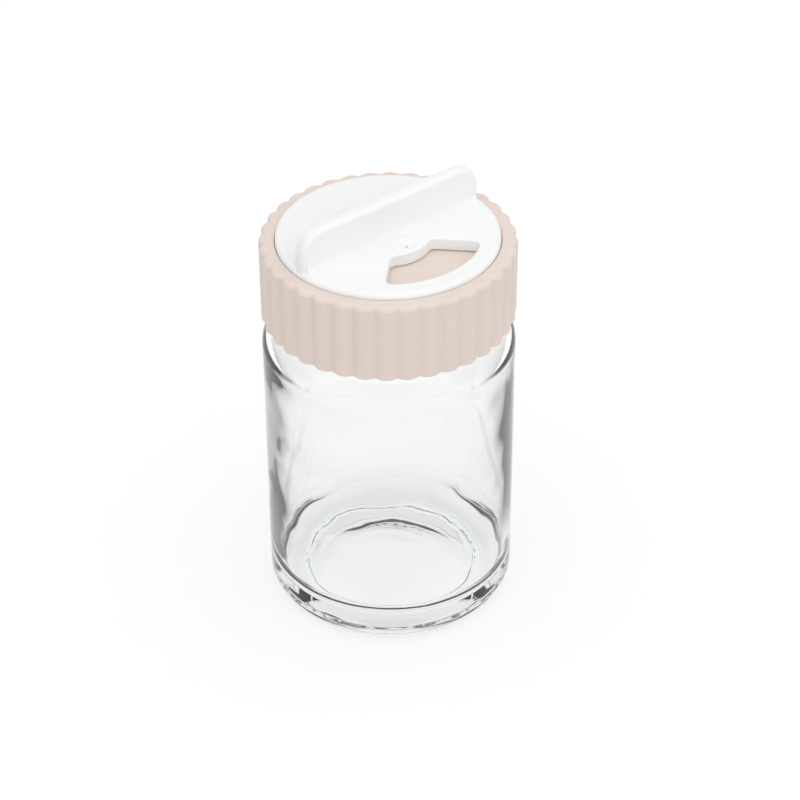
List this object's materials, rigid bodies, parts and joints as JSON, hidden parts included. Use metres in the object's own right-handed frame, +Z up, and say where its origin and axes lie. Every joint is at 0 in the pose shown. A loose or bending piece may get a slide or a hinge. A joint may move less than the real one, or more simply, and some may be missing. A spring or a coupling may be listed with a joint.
{
  "type": "spice jar",
  "caption": "Clear glass spice jar with a ribbed screw cap; a white dial with an upright finger fin turns its window over the cap's shaker holes or pouring opening.",
  "frame": {"origin": "centre of the base, on the plane that the jar stands on", "axes": "+Z up along the jar's axis; +X and +Y level, with the fin of the closed dial 38.8 degrees from +X towards +Y and the window on the -Y side"},
  "size_m": [0.066, 0.066, 0.1189],
  "materials": {
    "clear_glass": "clear pressed and blown flint glass, glossy",
    "seal": "soft translucent white, matt",
    "pink_plastic": "pale pink moulded polypropylene, satin",
    "white_plastic": "white moulded polypropylene, satin to gloss"
  },
  "bodies": {
    "jar": {"glass_jar": "clear_glass"},
    "seal": {"seal_ring": "seal"},
    "cap": {"screw_cap": "pink_plastic"},
    "dial": {"dial": "white_plastic"}
  },
  "joints": [
    {"name": "cap_lift", "type": "slide", "parent": "jar", "child": "seal", "axis": [0, 0, 1], "range_m": [0, 0.02]},
    {"name": "cap_turn", "type": "hinge", "parent": "seal", "child": "cap", "pos_m": [0, 0, 0.095], "axis": [0, 0, 1], "range_deg": [0, 720.1]},
    {"name": "dial_turn", "type": "hinge", "parent": "cap", "child": "dial", "pos_m": [0, 0, 0.105], "axis": [0, 0, 1], "range_deg": [-120, 120]}
  ],
  "couplings": [
    {"joint": "cap_turn", "follows": "cap_lift", "rad_per_m": 628.32}
  ]
}
